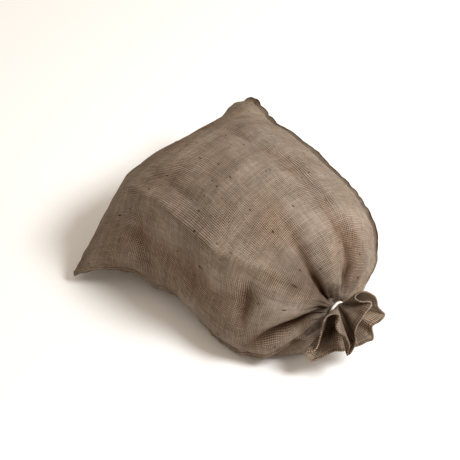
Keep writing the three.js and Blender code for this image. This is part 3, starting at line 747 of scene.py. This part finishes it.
# across the band: share of its thickness and share of its width
TIE_OUTLINE = [(0.2, 0), (0, 0.4), (0, 0.6), (0.2, 1), (0.8, 1), (1, 0.8), (1, 0.2), (0.8, 0)]
corners = len(TIE_OUTLINE)
tie_points, tie_faces = [], []
for k in range(TIE_STEPS):
    angle = 2 * math.pi * k / TIE_STEPS
    wavy = TIE_WAVE * math.sin(TIE_WAVES * angle)
    for thick_share, width_share in TIE_OUTLINE:
        radius = tie_row[3] + TIE_GAP + thick_share * TIE_THICK + wavy
        tie_points.append(tie_row[:3] + np.array([width_share * TIE_WIDTH,
                                                  radius * math.cos(angle),
                                                  radius * math.sin(angle)]))
    here, onward = k * corners, (k + 1) % TIE_STEPS * corners
    for j in range(corners):
        j2 = (j + 1) % corners
        tie_faces.append((here + j, here + j2, onward + j2, onward + j))
white_band = Shader("white_band")
white_band.surface.inputs["Base Color"].default_value = colour(244, 243, 238)
white_band.surface.inputs["Roughness"].default_value = 0.55
tie = mesh_piece("white_neck_tie", (np.array(tie_points) + shift) * MM, tie_faces,
                 white_band.material)
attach(tie, "root")
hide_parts("neck_tie")

# ------------------------------------------------------------------ floor, light and camera
# A plain pale floor under two soft studio lamps, a strong one on the mouth's side and a weak,
# low one on the far side, with an even, slightly warm sky.
FLOOR_HALF, FLOOR_TOP = 8.0, -0.0004
floor_mesh = bpy.data.meshes.new("floor")
floor_mesh.from_pydata([(-FLOOR_HALF, -FLOOR_HALF, FLOOR_TOP), (FLOOR_HALF, -FLOOR_HALF, FLOOR_TOP),
                        (FLOOR_HALF, FLOOR_HALF, FLOOR_TOP), (-FLOOR_HALF, FLOOR_HALF, FLOOR_TOP)],
                       [], [(0, 1, 2, 3)])
floor = bpy.data.objects.new("floor", floor_mesh)
bpy.context.scene.collection.objects.link(floor)
pale_floor = Shader("pale_floor")
pale_floor.surface.inputs["Base Color"].default_value = (0.93, 0.93, 0.93, 1)
pale_floor.surface.inputs["Roughness"].default_value = 0.9
floor_mesh.materials.append(pale_floor.material)

# the camera stands off the mouth's end on the near side, and looks down on the sack
AZIMUTH, ELEVATION, DISTANCE = math.radians(45), math.radians(42), 2.2
AIM_ALONG, AIM_HEIGHT = 364.0, 74.0
MOVED_LEFT, MOVED_UP = 0.1404, 0.0949
right = np.array([math.cos(AZIMUTH), math.sin(AZIMUTH), 0])
back = np.array([math.sin(AZIMUTH) * math.cos(ELEVATION), -math.cos(AZIMUTH) * math.cos(ELEVATION),
                 math.sin(ELEVATION)])
upward = np.cross(back, right)
aim = (np.array([AIM_ALONG, 0, AIM_HEIGHT]) + shift) * MM
lens = bpy.data.cameras.new("camera")
lens.sensor_width = 36.0
lens.lens = 132.4
camera = bpy.data.objects.new("camera", lens)
camera.location = aim + back * DISTANCE - right * MOVED_LEFT + upward * MOVED_UP
camera.rotation_euler = Matrix(np.stack([right, upward, back], 1).tolist()).to_euler()
bpy.context.scene.collection.objects.link(camera)
bpy.context.scene.camera = camera

# each lamp's place to the camera's right, toward the camera and up, the height that it shines
# at over the sack's middle, and its power
LAMP_SIZE, LAMP_COLOUR = 0.8, (0.97, 0.99, 1.0)
LAMPS = [("key_softbox", 1.35, 0.7, 1.3, 0.05, 43), ("edge_softbox", 1.7, -0.5, 0.7, 0.08, 5)]
for name, to_right, nearer, up, shines_at, power in LAMPS:
    lamp = bpy.data.lights.new(name, "AREA")
    lamp.shape = "DISK"
    lamp.size = LAMP_SIZE
    lamp.energy = power
    lamp.color = LAMP_COLOUR
    stand = bpy.data.objects.new(name, lamp)
    place = right * to_right + back * nearer + np.array([0, 0, up])
    away_from_sack = Vector(place - np.array([0, 0, shines_at]))
    stand.location = place
    stand.rotation_euler = away_from_sack.to_track_quat("Z", "Y").to_euler()
    bpy.context.scene.collection.objects.link(stand)

sky = bpy.data.worlds.new("studio")
sky.use_nodes = True
sky.node_tree.nodes["Background"].inputs["Color"].default_value = (1.0, 0.88, 0.75, 1)
sky.node_tree.nodes["Background"].inputs["Strength"].default_value = 0.54
bpy.context.scene.world = sky
bpy.context.scene.view_settings.view_transform = "Standard"
bpy.context.scene.view_settings.look = "Medium High Contrast"
